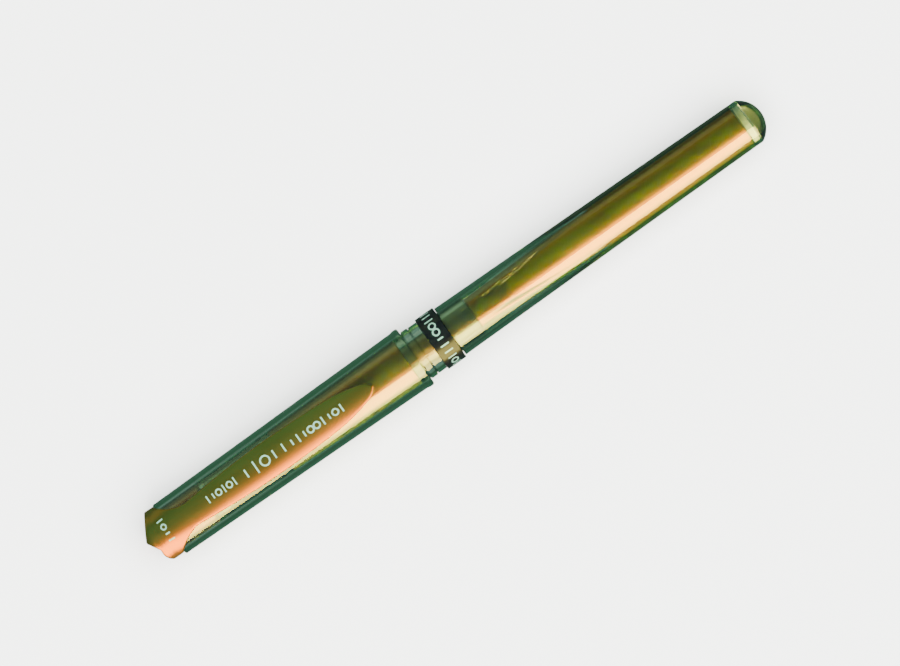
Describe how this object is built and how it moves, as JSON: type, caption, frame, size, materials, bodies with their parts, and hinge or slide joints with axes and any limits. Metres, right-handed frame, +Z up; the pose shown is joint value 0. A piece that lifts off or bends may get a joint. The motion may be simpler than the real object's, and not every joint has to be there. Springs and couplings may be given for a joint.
{
  "type": "capped gel pen",
  "caption": "Slim capped gel pen with a clear cap, gold leaf-shaped clip and crown, black ring, clear tapered barrel over a gold liner and a clear domed tail.",
  "frame": {"origin": "under the middle of the pen's length, on the surface that the cap's rim touches", "axes": "+X along the pen from the cap's end to the tail, +Z up through the clip, +Y across the pen"},
  "size_m": [0.15, 0.0134, 0.0155],
  "materials": {
    "clear_plastic": "polished",
    "gold_plastic": "gloss",
    "gold_rubber": "satin",
    "black_plastic": "gloss",
    "white_plastic": "satin",
    "natural_plastic": "satin",
    "seal_rubber": "matte",
    "steel": "polished",
    "carbide": "polished",
    "gold_ink": "satin",
    "grease": "gloss"
  },
  "bodies": {
    "front": {"front_body": "clear_plastic", "nose_cone": "clear_plastic", "grip_sleeve": "gold_rubber", "band_ring": "black_plastic"},
    "cap": {"cap_shell": "clear_plastic", "crown": "gold_plastic", "inner_cap": "clear_plastic", "tip_seal": "seal_rubber"},
    "clip": {"clip_arm": "gold_plastic"},
    "refill": {"tip_body": "steel", "ball_spring": "steel", "tip_holder": "white_plastic", "refill_tube": "natural_plastic", "ink_column": "gold_ink", "refill_stop": "white_plastic"},
    "ball": {"writing_ball": "carbide"},
    "valve": {"check_ball": "steel"},
    "follower": {"follower_grease": "grease", "follower_float": "natural_plastic"},
    "barrel": {"barrel": "clear_plastic", "barrel_liner": "gold_plastic", "tail_plug": "clear_plastic", "tail_disc": "white_plastic"}
  },
  "joints": [
    {"name": "cap_pull", "type": "slide", "parent": "front", "child": "cap", "axis": [-1, 0, 0], "range_m": [0, 0.06]},
    {"name": "clip_flex", "type": "hinge", "parent": "cap", "child": "clip", "pos_m": [-0.064, 0, 0.01465], "axis": [0, -1, 0], "range_deg": [0, 4], "stiffness_Nm_per_rad": 3.5, "springref_deg": -1.15},
    {"name": "refill_draw", "type": "slide", "parent": "front", "child": "refill", "axis": [1, 0, 0], "range_m": [0, 0.065]},
    {"name": "barrel_pull", "type": "slide", "parent": "refill", "child": "barrel", "axis": [1, 0, 0], "range_m": [0, 0.06]},
    {"name": "ball_roll", "type": "hinge", "parent": "refill", "child": "ball", "pos_m": [-0.056, 0, 0.00675], "axis": [0, 1, 0], "continuous": true},
    {"name": "valve_float", "type": "slide", "parent": "refill", "child": "valve", "axis": [1, 0, 0], "range_m": [0, 0.0012]},
    {"name": "follower_travel", "type": "slide", "parent": "refill", "child": "follower", "axis": [-1, 0, 0], "range_m": [0, 0.0565], "deforming": ["ink_column"]}
  ]
}
